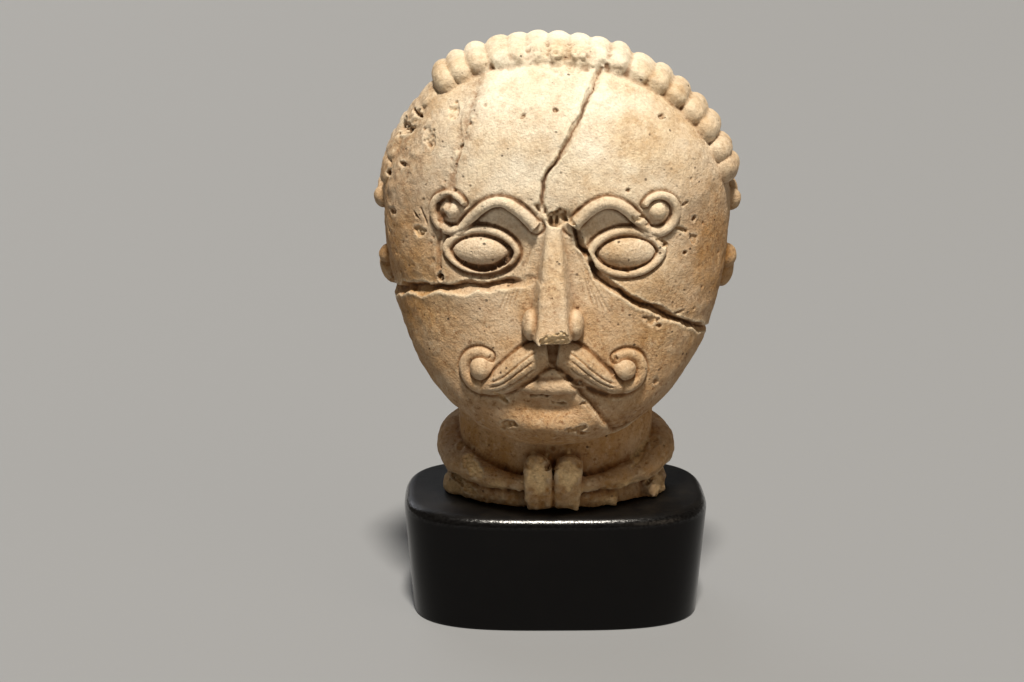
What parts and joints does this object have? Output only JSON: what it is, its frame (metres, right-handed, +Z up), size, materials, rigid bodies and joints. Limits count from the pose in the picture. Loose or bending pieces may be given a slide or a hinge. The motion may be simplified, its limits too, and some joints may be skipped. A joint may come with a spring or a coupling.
{
  "type": "carved stone head sculpture on a display base",
  "caption": "Carved stone head with a row of hair locks, curled moustache and neck ring, broken at the neck and rejoined, on a black lacquered base with round corners.",
  "frame": {"origin": "middle of the base's flat underside, which is where the object stands", "axes": "+Z up; the base's long side runs along X, and the face looks along -Y, turned 3 degrees towards -X"},
  "size_m": [0.1824, 0.1536, 0.2952],
  "materials": {
    "marl_stone": "matt carved marly limestone, cream with ochre and brown in the hollows, glued breaks and pits",
    "black_lacquer": "black gloss lacquer on wood, duller and dusty on the flat top"
  },
  "bodies": {
    "root": {"stone_head": "marl_stone", "base": "black_lacquer"}
  },
  "joints": []
}
